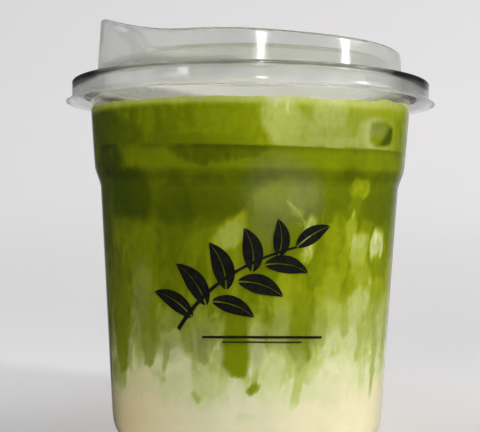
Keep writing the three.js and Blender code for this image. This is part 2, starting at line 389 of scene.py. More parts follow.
# Patches of the tea, in the order that they lie over each other: pixel of the centre, half size in mm, lean, milkiness, strength
PATCHES = [
    ((108, 158), (4.0, 4.4), 0.0, 0.07, 0.7),
    ((128, 196), (5.5, 8.0), 0.0, 0.13, 0.75),
    ((200, 152), (6.5, 2.4), 0.0, 0.19, 0.75),
    ((242, 150), (6.0, 1.5), 0.0, 0.22, 0.7),
    ((150, 162), (6.5, 2.6), 0.0, 0.42, 0.6),
    ((206, 194), (7.0, 5.5), 0.0, 0.23, 0.6),
    ((173, 203), (5.0, 5.5), 0.0, 0.17, 0.55),
    ((226, 207), (3.0, 4.0), 0.0, 0.26, 0.5),
    ((118, 300), (3.0, 14.0), 0.0, 0.30, 0.5),
    ((345, 205), (4.0, 5.0), 0.0, 0.32, 0.5),
    ((380, 196), (3.6, 8.0), 0.0, 0.28, 0.6),
    ((280, 197), (6.0, 5.0), 0.1, 0.60, 0.75),
    ((308, 190), (3.0, 4.0), 0.0, 0.49, 0.6),
    ((361, 189), (2.6, 2.6), 0.0, 0.62, 0.85),
    ((357, 207), (1.6, 4.0), 0.2, 0.47, 0.6),
    ((272, 250), (6.6, 11.0), 0.0, 0.41, 0.8),
    ((206, 240), (6.5, 3.6), 0.45, 0.50, 0.7),
    ((228, 256), (5.0, 6.0), 0.1, 0.55, 0.8),
    ((231, 233), (3.4, 5.4), 0.35, 0.75, 0.9),
    ((122, 232), (3.6, 5.0), 0.0, 0.46, 0.6),
    ((141, 255), (4.0, 9.0), 0.0, 0.48, 0.7),
    ((140, 286), (2.6, 5.0), 0.0, 0.65, 0.7),
    ((168, 262), (4.5, 10.0), 0.0, 0.36, 0.5),
    ((310, 238), (1.8, 5.6), 0.1, 0.84, 0.9),
    ((298, 208), (1.7, 1.2), -0.8, 0.72, 0.6),
    ((322, 250), (2.2, 7.0), 0.0, 0.43, 0.8),
    ((345, 262), (1.2, 5.0), 0.0, 0.70, 0.7),
    ((338, 236), (3.0, 6.0), 0.1, 0.58, 0.7),
    ((352, 232), (1.3, 5.0), 0.1, 0.70, 0.8),
    ((366, 228), (1.8, 2.6), 0.0, 0.52, 0.7),
    ((360, 246), (2.6, 4.6), 0.1, 0.81, 0.9),
    ((378, 247), (2.2, 4.4), 0.0, 0.87, 0.9),
    ((333, 268), (4.6, 5.0), 0.0, 0.52, 0.7),
    ((361, 268), (2.4, 5.0), 0.0, 0.70, 0.7),
    ((379, 268), (2.2, 3.4), 0.0, 0.46, 0.8),
    ((284, 292), (2.4, 7.0), 0.1, 0.64, 0.75),
    ((300, 300), (3.0, 6.0), 0.0, 0.50, 0.6),
    ((330, 292), (3.4, 6.0), 0.1, 0.66, 0.75),
    ((358, 307), (3.3, 5.0), 0.2, 0.83, 0.85),
    ((378, 292), (2.6, 4.0), 0.0, 0.60, 0.85),
    ((384, 318), (2.6, 6.0), 0.0, 0.80, 0.8),
    ((330, 326), (3.8, 7.0), 0.0, 0.78, 0.8),
    ((360, 332), (4.2, 8.0), 0.0, 0.79, 0.7),
    ((172, 326), (3.0, 5.0), 0.0, 0.54, 0.6),
    ((281, 326), (2.2, 7.0), 0.0, 0.64, 0.75),
    ((171, 348), (3.6, 4.0), 0.0, 0.76, 0.85),
    ((201, 342), (2.6, 3.0), 0.0, 0.70, 0.8),
    ((258, 346), (2.0, 5.0), 0.0, 0.76, 0.85),
    ((258, 360), (2.2, 5.0), 0.0, 0.82, 0.8),
    ((200, 347), (2.6, 2.4), 0.0, 0.72, 0.8),
    ((281, 357), (2.2, 6.0), 0.0, 0.73, 0.75),
    ((312, 376), (2.0, 3.2), 0.0, 0.66, 0.8),
    ((342, 352), (6.0, 6.5), 0.0, 0.84, 0.85),
    ((171, 368), (4.6, 4.0), 0.0, 0.91, 0.85),
    ((142, 384), (4.0, 3.0), 0.0, 0.93, 0.85),
    ((273, 372), (2.6, 5.0), 0.0, 0.84, 0.8),
    ((332, 380), (6.0, 5.0), 0.0, 0.94, 0.85),
]

# Green tongues that hang into the milk: pixel of the tip, half width in mm, height of the top, milkiness, strength
TONGUES = [
    ((110, 392), 3.2, 60, 0.36, 0.90),
    ((121, 376), 2.4, 52, 0.40, 0.85),
    ((148, 370), 3.0, 46, 0.46, 0.80),
    ((163, 375), 0.9, 33, 0.62, 0.75),
    ((186, 356), 2.2, 42, 0.52, 0.70),
    ((203, 370), 1.6, 40, 0.54, 0.80),
    ((236, 381), 3.8, 47, 0.41, 0.92),
    ((254, 397), 1.1, 25, 0.47, 0.80),
    ((301, 378), 3.2, 46, 0.43, 0.88),
    ((298, 413), 1.7, 33, 0.70, 0.75),
    ((322, 348), 1.3, 44, 0.55, 0.60),
    ((371, 400), 0.9, 44, 0.64, 0.80),
    ((358, 364), 0.9, 36, 0.66, 0.70),
    ((345, 340), 1.1, 46, 0.60, 0.50),
    ((384, 352), 1.0, 46, 0.60, 0.60),
]

BLOTS = [
    ((311, 373), (2.2, 3.2), 0.0, 0.76, 0.6),
    ((117, 378), (2.4, 5.0), 0.0, 0.48, 0.65),
    ((201, 404), (3.0, 2.6), 0.0, 0.80, 0.6),
    ((197, 400), (1.5, 1.6), 0.0, 0.62, 0.85),
    ((246, 419), (2.1, 1.5), 0.0, 0.68, 0.85),
    ((210, 389), (4.6, 3.6), 0.0, 0.79, 0.75),
    ((182, 384), (3.4, 2.4), 0.0, 0.84, 0.6),
    ((254, 391), (1.6, 1.8), 0.0, 0.42, 0.80),
    ((311, 396), (2.2, 1.6), 0.0, 0.86, 0.6),
]

# Places where the tea is clouded a greyer green: pixel of the centre, half size in mm, strength
HAZE = [
    ((280, 190), (7.2, 7.5), 0.42),
    ((307, 200), (4.0, 6.0), 0.38),
    ((270, 226), (4.5, 5.0), 0.25),
    ((200, 347), (3.0, 3.4), 0.25),
    ((141, 286), (2.6, 6.0), 0.35),
    ((137, 306), (2.0, 4.6), 0.30),
    ((281, 332), (1.6, 4.6), 0.25),
    ((202, 342), (2.4, 3.4), 0.30),
    ((170, 350), (2.6, 3.4), 0.30),
    ((258, 350), (1.5, 5.0), 0.35),
]

# Thin white strokes of milk
STROKES = [
    ((289, 203), (0.40, 0.70), -0.7, 0.86, 0.64),
    ((293, 206), (0.45, 0.75), -0.8, 0.90, 0.68),
    ((298, 211), (0.40, 0.80), -0.7, 0.86, 0.64),
    ((302, 217), (0.40, 0.90), -0.4, 0.82, 0.60),
    ((306, 225), (0.45, 1.10), -0.2, 0.84, 0.64),
    ((309, 234), (0.55, 1.80), 0.05, 0.90, 0.9),
    ((354, 214), (0.40, 1.20), 0.2, 0.76, 0.7),
    ((376, 238), (0.50, 1.60), 0.1, 0.92, 0.85),
    ((381, 252), (0.50, 1.60), 0.1, 0.90, 0.8),
    ((288, 108), (0.40, 1.60), 0.0, 0.86, 0.7),
    ((276, 104), (0.50, 1.00), 0.3, 0.84, 0.7),
]

# Patches of the froth band, in the same way
FROTH_PATCHES = [
    ((106, 132), (4.0, 6.5), 0.0, 0.17, 0.80),
    ((122, 138), (5.0, 4.0), 0.0, 0.24, 0.7),
    ((196, 139), (10.0, 1.7), 0.0, 0.33, 0.75),
    ((228, 118), (8.0, 6.0), 0.0, 0.50, 0.5),
    ((281, 118), (3.8, 6.0), 0.0, 0.79, 0.8),
    ((303, 132), (5.0, 5.0), 0.2, 0.70, 0.75),
    ((312, 108), (2.6, 3.0), 0.0, 0.58, 0.7),
    ((333, 112), (3.6, 4.0), 0.0, 0.78, 0.75),
    ((341, 130), (3.4, 4.0), 0.0, 0.68, 0.6),
    ((338, 142), (6.0, 1.4), 0.0, 0.72, 0.7),
    ((360, 118), (3.2, 4.0), 0.0, 0.60, 0.8),
    ((366, 138), (2.6, 4.0), 0.0, 0.73, 0.7),
    ((390, 112), (4.0, 3.0), 0.0, 0.55, 0.7),
]
ICE_WINDOW = ((382, 135), (3.6, 3.5))  # a cube of ice against the wall, painted as colour on the froth's side


def layer_z(phi, r=43.5):
    return LAYER_LINE_Z - LAYER_TILT * r * np.sin(phi)


def line_z(phi):
    """Where the colour changes: on the right it runs level, a little above the seam of the two pieces."""
    s = np.sin(phi)
    return LAYER_LINE_Z - LAYER_TILT * 43.5 * np.where(s < 0, s, 0.15 * s)


def surface_noise(phi, z, r, su, sz, seed=0.0, octaves=3):
    """Noise on the wall: su and sz are the sizes of its features across and up, in mm."""
    p = np.stack([r * np.sin(phi) / su, -r * np.cos(phi) / su, z / sz + seed], 1)
    return fbm(p + seed, octaves)


def paint(m, phi, z, patches, edge):
    for centre, half, lean, target, strength in patches:
        w = blob(phi + 0.5 * edge / 41, z + 0.6 * edge, at(*centre), half, lean, 0.27)
        w = np.clip(w * (1 + 0.6 * edge), 0, 1) * strength
        m = m + w * (target - m)
    return m


def milk_field(phi, z, r):
    """How milky the drink is at a point of its outside: 0 is deep green tea, 1 is milk."""
    warp_u = surface_noise(phi, z, r, 6.0, 9.0, 3.1, 3)
    warp_z = surface_noise(phi, z, r, 6.0, 9.0, 13.7, 3)
    twist = surface_noise(phi, z, r, 2.6, 3.4, 33.1, 2)
    ph, zz = phi + (1.9 * warp_u + 0.6 * twist) / 41.0, z + 2.6 * warp_z + 0.5 * twist
    streak = surface_noise(ph, z, r, 3.0, 22.0, 8.7, 3)
    fine = surface_noise(ph, z, r, 1.5, 3.4, 21.0, 3)
    cloud = surface_noise(phi, z, r, 10.0, 12.0, 40.2, 3)
    front = smoothstep(np.cos(phi), 0.02, 0.3)  # the side whose streaks the photograph shows
    heights, plain = zip(*PLAIN_BY_HEIGHT)
    lift = 4.0 * cloud + 7.0 * (1 - front) * streak
    m = np.interp(zz + lift, heights, plain)
    zone = smoothstep(z, 70, 52) * smoothstep(z, 9, 22)
    m = m + (0.13 + 0.20 * (1 - front)) * streak * zone + 0.035 * fine * (0.35 + zone) + 0.05 * twist * (0.4 + zone) + 0.07 * cloud * smoothstep(z, 12, 24)
    # the left is deeper green for longer, and the right is lighter sooner
    side = np.sin(phi)
    m = m - 0.10 * smoothstep(-side, 0.45, 1.0) * smoothstep(z, 16, 30)
    m = m + 0.07 * smoothstep(side, 0.35, 0.9) * smoothstep(z, 64, 50) * smoothstep(z, 20, 30)
    # thin wisps of milk that the tea has drawn out
    v = surface_noise(ph + 0.9 * twist / 41, z + 1.2 * twist, r, 3.6, 8.5, 57.3, 2)
    wisp = smoothstep(1 - np.abs(v) * 1.6, 0.86, 0.99) * smoothstep(cloud + 0.4 * streak, -0.15, 0.35)
    m = m + 0.13 * wisp * smoothstep(z, 74, 62) * smoothstep(z, 16, 26)
    # crisp-edged marbling
    marble = surface_noise(ph + 0.7 * twist / 41, z + 0.8 * twist, r, 3.4, 7.5, 71.7, 2)
    m = m + 0.075 * (smoothstep(marble, -0.05, 0.15) - 0.5) * smoothstep(z, 66, 50) * smoothstep(z, 14, 24)
    marble2 = surface_noise(ph + 0.5 * twist / 41, z, r, 1.7, 4.2, 91.3, 2)
    m = m + 0.035 * (smoothstep(marble2, 0.0, 0.25) - 0.3) * smoothstep(z, 66, 50) * smoothstep(z, 14, 24)
    edge = fine + 0.6 * streak
    m = paint(m, ph, zz, [(c, h, l, t, k) for c, h, l, t, k in PATCHES], edge)
    for c, w, top, target, strength in TONGUES:
        p0, tip = at(*c)
        k = tongue(ph, zz, p0, w, top, tip) * strength
        m = m + k * (target - m)
    m = paint(m, ph, zz, BLOTS, edge)
    m = paint(m, phi, z, STROKES, 0.4 * edge)
    # round the back the same kind of tongues and pale streaks at their own places
    for k in range(15):
        p0 = math.radians(98 + 164 * (k + 0.35 * math.sin(4.3 * k)) / 14)
        tip = 17 + 8 * math.sin(2.9 * k + 1)
        w = tongue(ph, zz, p0, 1.3 + 1.5 * abs(math.sin(1.7 * k)), 46, tip) * (1 - front) * 0.8
        m = m + w * (0.44 + 0.1 * math.sin(2.2 * k) - m)
        q0 = math.radians(96 + 168 * (k + 0.5 + 0.35 * math.sin(3.1 * k)) / 14)
        w = blob(ph, zz, (q0, 40 + 12 * math.sin(1.3 * k)), (1.3 + abs(math.sin(2.7 * k)), 6 + 3 * math.sin(k)), 0.1, 0.5) * (1 - front) * 0.7
        m = m + w * (0.74 - m)
    # the foot of the cup holds plain milk
    plain = smoothstep(z + 2.2 * cloud + 1.2 * streak, 18.5, 11.0)
    return m * (1 - plain) + plain


def drink_colour(phi, z, r):
    m = milk_field(phi, z, r)
    c = ramp(m)
    left = smoothstep(-np.sin(phi), 0.2, 0.95)
    c[:, 2] += 0.085 * smoothstep(z, 47, 27) * np.clip(4 * m * (1 - m), 0, 1) * smoothstep(m, 0.42, 0.62)
    for centre, half, strength in HAZE:
        w = blob(phi, z, at(*centre), half, 0.0, 0.5) * strength
        c = c + w[:, None] * (lin((124, 131, 80)) - c)
    # painted shade on the milk at the left, away from the lights
    left_shade = (left * smoothstep(m, 0.8, 1.0))[:, None]
    c = c * (1 - left_shade) + c * MILK_LEFT_SHADE * left_shade
    # the milk in the middle has taken a breath of green
    mid = (smoothstep(np.sin(phi), -0.55, -0.25) * (1 - smoothstep(np.sin(phi), 0.05, 0.35)) * smoothstep(m, 0.8, 1.0))[:, None]
    c = c * (1 - mid * np.array([0.075, 0.03, 0.03]))
    # and the milk right of it is a little duller; the left edge, away from the lights, has painted shade
    side = np.sin(phi)
    dull = 0.06 * smoothstep(side, -0.15, 0.1) * (1 - smoothstep(side, 0.5, 0.7)) * smoothstep(m, 0.8, 1.0)
    shade = 0.24 * smoothstep(-side, 0.83, 0.96) * smoothstep(z, 44, 34)
    c = c * ((1 - dull) * (1 - shade))[:, None]
    # the tea behind the print is a little deeper than the ramp has it
    deep = 0.15 * smoothstep(z, 71, 62) * smoothstep(z, 24, 36) * (1 - smoothstep(m, 0.75, 0.95))
    c = c * (1 - deep)[:, None]
    # painted shade: a dark line where the wall steps out at the shoulder, and a dark band just under the froth
    dark = 0.26 * (1 - smoothstep(np.abs(z - 73.6), 0.5, 2.0)) + 0.24 * smoothstep(line_z(phi) - z, 1.8, 0.1)
    return np.clip(c * (1 - dark)[:, None], 0, 1)


def froth_field(phi, z, r):
    s = np.sin(phi)
    streak = surface_noise(phi, z, r, 3.2, 9.0, 9.9, 3)
    fine = surface_noise(phi, z, r, 1.2, 2.2, 29.9, 3)
    cloud = surface_noise(phi, z, r, 8.0, 8.0, 19.9, 3)
    m = np.interp(s, (-1, -0.85, -0.5, 0.0, 0.3, 0.75, 1), (0.24, 0.30, 0.37, 0.47, 0.60, 0.57, 0.44))
    blot = surface_noise(phi, z, r, 3.0, 4.0, 49.9, 3)
    m = m + 0.05 * streak + 0.03 * fine + 0.06 * cloud + 0.07 * (smoothstep(blot, -0.1, 0.2) - 0.5)
    zz = z + 0.8 * cloud
    ph = phi + 0.8 * streak / 41
    m = paint(m, ph, zz, FROTH_PATCHES, fine + 0.5 * streak)
    m = paint(m, phi, z, STROKES[-2:], 0.4 * fine)
    # paler foam along the top edge
    top = smoothstep(z, FROTH_TOP_Z - 2.2, FROTH_TOP_Z - 0.3) * (0.5 + 0.5 * smoothstep(cloud + fine, -0.3, 0.4))
    m = m + 0.35 * top * (0.78 - m)
    rim = FROTH_TOP_Z + 1.2 * smoothstep(s, 0.55, 0.9) * smoothstep(np.cos(phi), -0.6, 0.2)
    fringe = smoothstep(z - rim, -2.4, -0.5)
    m = m + 0.62 * fringe * (0.86 - m)
    # the cube: a darker middle, paler along its top and its near edge
    (px, py), (hw, hh) = ICE_WINDOW
    p0, z0 = at(px, py)
    u = across(phi, p0) * math.cos(p0) / hw
    v = (z - z0) / hh
    d = (np.abs(u) ** 3.2 + np.abs(v) ** 3.2) ** (1 / 3.2) + 0.10 * blot + 0.08 * fine
    frame_ = smoothstep(d, 0.72, 0.98) * (1 - smoothstep(d, 1.05, 1.5)) * (0.25 + 0.75 * smoothstep(-1.2 * u - 0.5 * v, -1.0, 0.5))
    inside = 1 - smoothstep(d, 0.66, 0.98)
    m = m + 0.62 * frame_ * (0.82 - m)
    m = m + 0.90 * inside * (0.52 - 0.37 * smoothstep(u - 0.6 * v, -0.05, 0.6) - 0.10 * smoothstep(v, 0.0, 0.5) + 0.08 * fine - m)
    return m


def froth_colour(phi, z, r):
    m = froth_field(phi, z, r)
    c = ramp(m)
    c = c * (1 - 0.17 * smoothstep(np.sin(phi), 0.12, 0.42) * smoothstep(z, 91.5, 88.0))[:, None]
    c[:, 2] += 0.035 * smoothstep(m, 0.5, 0.7)
    cube = 0.30 * blob(phi, z, at(ICE_WINDOW[0][0] - 5, ICE_WINDOW[0][1] - 5), (2.6, 1.9), 0.0, 0.5)[:, None]
    c = c * (1 - cube) + lin((136, 143, 96)) * cube
    tea = smoothstep(line_z(phi) - z, -0.12, 0.12)[:, None]
    c = c * (1 - tea) + drink_colour(phi, z, r) * tea
    # foam on top holds more air and is paler towards the middle
    inner = smoothstep(43.0 - r, 0.5, 5.0)[:, None]
    c = c * (1 - 0.5 * inner) + lin((150, 164, 46)) * 0.5 * inner
    return np.clip(c, 0, 1)


# ---------------------------------------------------------------- drink: meshes
BITE = 0.32  # the drink reaches this far into the wall, so that no air shows between them


def wall_r(z):
    return float(inside_r(z)) + BITE


def frame_phi(angle):
    """Angle from the front, positive to the right, of an angle counted from +X."""
    return (angle + math.pi / 2 + math.pi) % (2 * math.pi) - math.pi


def meeting_z(phi):
    """Where milk and tea meet at the wall. They blend, so this is only where one piece ends."""
    phi = np.asarray(phi, float)
    return 24 + 2.2 * np.sin(2 * phi + 0.6) + 1.8 * np.sin(5 * phi + 2.1) + 1.1 * np.sin(9 * phi)


def froth_top(r, phi):
    phi = np.asarray(phi, float)
    p = np.stack([r * np.sin(phi) / 6.5, -r * np.cos(phi) / 6.5, 0 * phi], 1)
    q = np.stack([r * np.sin(phi) / 2.2, -r * np.cos(phi) / 2.2, 0 * phi + 5], 1)
    # foam clings a little higher to the wall on the right
    cling = 1.35 * smoothstep(np.sin(phi), 0.5, 0.9) * smoothstep(np.cos(phi), -0.6, 0.2) * smoothstep(r, 38, 44.6)
    return FROTH_TOP_Z + 0.45 * fbm(p, 2) + 0.16 * fbm(q, 2) - 0.35 * (1 - r / 44) + cling


def layer_mesh(name, bottom, side_lo, side_hi, top, rows, n, colour):
    """A layer of drink. bottom and top are lists of (r, z(phi) function) from the axis out and from the wall in, and the side runs between heights that depend on the angle."""
    # points lie closer together at the front, where the pattern is finest
    u = 2 * math.pi * np.arange(n) / n
    phi = u - 0.42 * np.sin(u)
    ang = phi - math.pi / 2
    phi = (phi + math.pi) % (2 * math.pi) - math.pi
    rings = []
    for r, f in bottom:
        rings.append((np.full(n, float(r)), f(phi)))
    lo, hi = side_lo(phi), side_hi(phi)
    for k in range(rows + 1):
        z = lo + (hi - lo) * k / rows
        rings.append((inside_r(z) + BITE, z))
    for r, f in top:
        rings.append((np.full(n, float(r)), f(phi)))
    verts, cols = [], []
    for r, z in rings:
        r = np.maximum(r, 1e-4)
        verts.append(np.stack([r * np.cos(ang) * MM, r * np.sin(ang) * MM, z * MM], 1))
        cols.append(colour(phi, z, r))
    m = len(rings)
    verts = np.vstack(verts)
    cols = np.vstack(cols)
    z0, z1 = float(rings[0][1].mean()), float(rings[-1][1].mean())
    verts = np.vstack([verts, [[0, 0, z0 * MM]], [[0, 0, z1 * MM]]])
    cols = np.vstack([cols, cols[:n].mean(0)[None], cols[-n:].mean(0)[None]])
    faces = []
    for k in range(m - 1):
        for i in range(n):
            j = (i + 1) % n
            faces.append((k * n + i, k * n + j, (k + 1) * n + j, (k + 1) * n + i))
    for i in range(n):
        j = (i + 1) % n
        faces.append((m * n, j, i))
        faces.append((m * n + 1, (m - 1) * n + i, (m - 1) * n + j))
    o = mesh_object(name, verts, faces)
    sharpen(o, 35)
    a = o.data.color_attributes.new("tint", "FLOAT_COLOR", "POINT")
    rgba = np.ones((len(verts), 4), dtype=np.float32)
    rgba[:, :3] = cols
    a.data.foreach_set("color", rgba.ravel())
    return o


def const(z):
    return lambda phi: np.full(len(phi), float(z))


def make_drink():
    milk = layer_mesh(
        "milk_body",
        [(12, const(3.0)), (27.5, const(3.0)), (29.6, const(2.9)), (31.6, const(1.1)), (33.0, const(0.75)), (35.6, const(0.75)), (36.8, const(1.0)), (37.5, const(1.5))],
        const(2.2), meeting_z,
        [(r, (lambda q: lambda phi: meeting_z(phi) * (q / 40) + 26 * (1 - q / 40))(r)) for r in (34, 26, 16, 7)],
        44, 480, drink_colour,
    )
    tea = layer_mesh(
        "matcha_body",
        [(r, (lambda q: lambda phi: meeting_z(phi) * (q / 40) + 26 * (1 - q / 40))(r)) for r in (7, 16, 26, 34)],
        meeting_z, lambda phi: layer_z(phi),
        [(r, (lambda q: lambda phi: layer_z(phi, q))(r)) for r in (34, 20, 8)],
        116, 560, drink_colour,
    )
    froth = layer_mesh(
        "froth_body",
        [(r, (lambda q: lambda phi: layer_z(phi, q))(r)) for r in (8, 20, 34)],
        lambda phi: layer_z(phi), lambda phi: froth_top(44.6, phi),
        [(r, (lambda q: lambda phi: froth_top(q, phi))(r)) for r in np.linspace(44.2, 1.2, 60)],
        26, 420, froth_colour,
    )
    return milk, tea, froth


def paint_plastic(o, tint_at, haze_at=None):
    """Gives a clear piece its tint attribute, from the radius and height of each point in mm. Its fourth value is how milky the plastic is."""
    n = len(o.data.vertices)
    co = np.empty(n * 3, dtype=np.float32)
    o.data.vertices.foreach_get("co", co)
    co = co.reshape(-1, 3) / MM
    rgba = np.ones((n, 4), dtype=np.float32)
    where = np.hypot(co[:, 0], co[:, 1]), co[:, 2], np.arctan2(co[:, 0], -co[:, 1])
    rgba[:, :3] = tint_at(*where)
    rgba[:, 3] = haze_at(*where) if haze_at else 0
    a = o.data.color_attributes.new("tint", "FLOAT_COLOR", "POINT")
    a.data.foreach_set("color", rgba.ravel())


def lid_tint_and_shade(r, z, phi):
    # painted shade: the tight bend at the outer top edge is darkened all round, most where the sheet is seen edge on
    low = 98.5 - 1.9 * smoothstep(np.abs(np.sin(phi)), 0.55, 0.95)
    bead_shade = smoothstep(r, 47.0, 49.0) * smoothstep(z - low, 0, 0.7)
    bead_shade = bead_shade * (0.8 + 0.2 * noise3(np.stack([np.sin(phi) * 5, np.cos(phi) * 5, 0 * phi], 1)))
    side = smoothstep(np.abs(np.sin(phi)), 0.5, 0.95)
    body = 0.12 * smoothstep(46.0 - r, 0, 1.5)  # the drawn dome is a little greyer than the skirt
    # painted shade: the foot of the dome is darkened, more so away from the light
    reach = z - 1.6 * smoothstep(-np.sin(phi), 0.3, 0.75)
    foot = (1 - smoothstep(r, 44.3, 45.2)) * smoothstep(z, 98.6, 99.4) * (1 - smoothstep(reach, 101.0, 102.5))
    body = body + 0.10 * (1 - smoothstep(r, 44.3, 45.2)) * smoothstep(-np.sin(phi), 0.55, 0.8)
    body = body + 0.42 * foot * smoothstep(0.05 - np.sin(phi), 0, 0.2)
    # painted shade: seen edge on, the skirt is darkened too
    s = np.sin(phi)
    edge_on_shade = 0.34 * smoothstep(-s, 0.60, 0.78) + 0.38 * smoothstep(s, 0.55, 0.76)
    body = body + edge_on_shade * smoothstep(r, 49.5, 50.2) * smoothstep(z, 94.0, 95.0)
    return 1 - body[:, None] - ((0.64 + 0.31 * side) * np.clip(bead_shade, 0, 1))[:, None] * np.array([1.0, 0.98, 1.02])


def lid_haze(r, z, phi):
    # breath of the cold drink and the drawing of the sheet leave the lid a little milky, the skirt most
    skirt = smoothstep(r, 49.6, 50.3) * smoothstep(z, 93.6, 95.0) * (1 - smoothstep(z, 97.6, 98.8))
    skirt = skirt * (1 - 0.6 * smoothstep(np.abs(np.sin(phi)), 0.58, 0.78))
    dome = 1 - smoothstep(r, 44.6, 45.8)
    patch = 0.85 + 0.3 * noise3(np.stack([r * np.sin(phi) / 9, r * np.cos(phi) / 9, z / 9], 1))
    floor = (1 - smoothstep(r, 37.5, 40.5)) * (1 - smoothstep(z, 105.6, 106.4))
    return np.clip((0.05 + 0.46 * skirt + 0.15 * dome * (1 - 0.7 * floor)) * patch, 0, 1)


def cup_tint_and_shade(r, z, phi):
    wet = smoothstep(z, 91.0, 92.5) * (1 - smoothstep(z, 94.5, 96.5))
    s = np.sin(phi)
    # painted shade: the wall above the froth is darkened at its sides, where it is seen edge on
    edge = smoothstep(z, 91.5, 92.6) * (0.22 * smoothstep(-s, 0.70, 0.97) + 0.32 * smoothstep(s, 0.50, 0.88))
    return 1 - wet[:, None] * np.array([0.05, 0.05, 0.16]) - edge[:, None]


# ---------------------------------------------------------------- print: a plain sprig over two thin rules
def ribbon(bm, pts, half, columns=1, lift=0.02, thick=0.03):
    """A thin closed strip of ink on the wall. pts is (n, 2): distance round the wall and height, in mm, and half is half its width at each point."""
    pts = np.asarray(pts, float)
    half = np.broadcast_to(np.asarray(half, float), (len(pts),))
    t = np.gradient(pts, axis=0)
    t /= np.maximum(np.linalg.norm(t, axis=1), 1e-9)[:, None]
    nrm = np.stack([-t[:, 1], t[:, 0]], 1)
    grid = []
    for lay in (lift, lift + thick):
        rows = []
        for k, (p, h) in enumerate(zip(pts, half)):
            row = []
            for c in range(columns + 1):
                q = p + nrm[k] * h * (2 * c / columns - 1)
                r = float(outside_r(q[1])) + lay
                phi = q[0] / 41.5
                row.append(bm.verts.new((r * math.sin(phi) * MM, -r * math.cos(phi) * MM, q[1] * MM)))
            rows.append(row)
        grid.append(rows)
    low, high = grid
    n, m = len(pts), columns + 1
    for i in range(n - 1):
        for j in range(m - 1):
            bm.faces.new((high[i][j], high[i][j + 1], high[i + 1][j + 1], high[i + 1][j]))
            bm.faces.new((low[i][j], low[i + 1][j], low[i + 1][j + 1], low[i][j + 1]))
    for i in range(n - 1):
        bm.faces.new((low[i][0], high[i][0], high[i + 1][0], low[i + 1][0]))
        bm.faces.new((low[i][m - 1], low[i + 1][m - 1], high[i + 1][m - 1], high[i][m - 1]))
    for j in range(m - 1):
        bm.faces.new((low[0][j], low[0][j + 1], high[0][j + 1], high[0][j]))
        bm.faces.new((low[n - 1][j], high[n - 1][j], high[n - 1][j + 1], low[n - 1][j + 1]))


def wall_point(px, py):
    phi, z = at(px, py)
    return np.array([phi * 41.5, z])


def make_print():
    bm = bmesh.new()

    def curve(a, b, bow, n):
        a, b = wall_point(*a), wall_point(*b)
        d = b - a
        s = np.linspace(0, 1, n)[:, None]
        return a + d * s + np.array([-d[1], d[0]]) * bow * 4 * s * (1 - s)

    def leaf(a, b, bow, width):
        line = curve(a, b, bow, 22)
        s = np.linspace(0, 1, 22)
        shape = np.sin(math.pi * s**0.85) ** 0.9 * width + 0.05
        size = np.linalg.norm(line[-1] - line[0])
        # two blades with a bare midrib between them
        t = np.gradient(line, axis=0)
        t /= np.linalg.norm(t, axis=1)[:, None]
        nrm = np.stack([-t[:, 1], t[:, 0]], 1)
        for side in (-1, 1):
            gap = 0.16 * (1 - s) + 0.03
            mid = line + nrm * (side * (gap + shape / 2))[:, None]
            ribbon(bm, mid, shape / 2, 4)
        return size

    stem = curve((178, 330), (297, 247), 0.10, 40)
    ribbon(bm, stem, np.linspace(0.52, 0.26, 40), 1)
    for a, b, bow, width in (
        ((192, 318), (154, 292), -0.10, 2.1),
        ((206, 306), (176, 264), -0.10, 2.4),
        ((212, 302), (254, 318), 0.10, 2.0),
        ((226, 290), (209, 243), -0.10, 2.5),
        ((238, 282), (283, 297), 0.10, 2.2),
        ((252, 272), (244, 228), -0.10, 2.3),
        ((265, 265), (308, 273), 0.10, 2.0),
        ((278, 257), (278, 219), -0.10, 1.9),
        ((297, 247), (330, 226), 0.06, 1.9),
    ):
        leaf(a, b, bow, width)
    for y, x0, x1, w in ((338, 202, 322, 0.30), (343, 222, 302, 0.17)):
        line = np.array([wall_point(x, y - (x - 262) * 0.0) for x in np.linspace(x0, x1, 40)])
        ribbon(bm, line, w, 1)
    bmesh.ops.recalc_face_normals(bm, faces=bm.faces)
    me = bpy.data.meshes.new("print_sprig")
    bm.to_mesh(me)
    bm.free()
    o = bpy.data.objects.new("print_sprig", me)
    bpy.context.scene.collection.objects.link(o)
    return o


# ---------------------------------------------------------------- ice and bubbles in the froth
def rounded_cube(bm, centre, half, turn, seed, n=9, power=5.0):
    """A cube with worn edges and a slightly uneven surface."""
    rot = Matrix.Rotation(turn[2], 3, "Z") @ Matrix.Rotation(turn[1], 3, "Y") @ Matrix.Rotation(turn[0], 3, "X")
    made = {}

    def vert(p):
        key = tuple(np.round(p, 5))
        if key not in made:
            q = np.array(p)
            q = q / (np.abs(q) ** power).sum() ** (1 / power)
            q = q * (1 + 0.03 * float(noise3(q[None] * 1.6 + seed)[0]))
            v = rot @ Vector(q * half)
            made[key] = bm.verts.new(((v.x + centre[0]) * MM, (v.y + centre[1]) * MM, (v.z + centre[2]) * MM))
        return made[key]

    g = np.linspace(-1, 1, n)
    for axis in range(3):
        for s in (-1, 1):
            for i in range(n - 1):
                for j in range(n - 1):
                    quad = []
                    for a, b in ((i, j), (i + 1, j), (i + 1, j + 1), (i, j + 1)):
                        p = [0.0, 0.0, 0.0]
                        p[axis], p[(axis + 1) % 3], p[(axis + 2) % 3] = float(s), float(g[a]), float(g[b])
                        quad.append(vert(p))
                    bm.faces.new(quad if s > 0 else quad[::-1])


def finish_mesh(bm, name):
    bmesh.ops.recalc_face_normals(bm, faces=bm.faces)
    me = bpy.data.meshes.new(name)
    bm.to_mesh(me)
    bm.free()
    me.polygons.foreach_set("use_smooth", [True] * len(me.polygons))
    o = bpy.data.objects.new(name, me)
    bpy.context.scene.collection.objects.link(o)
    return o


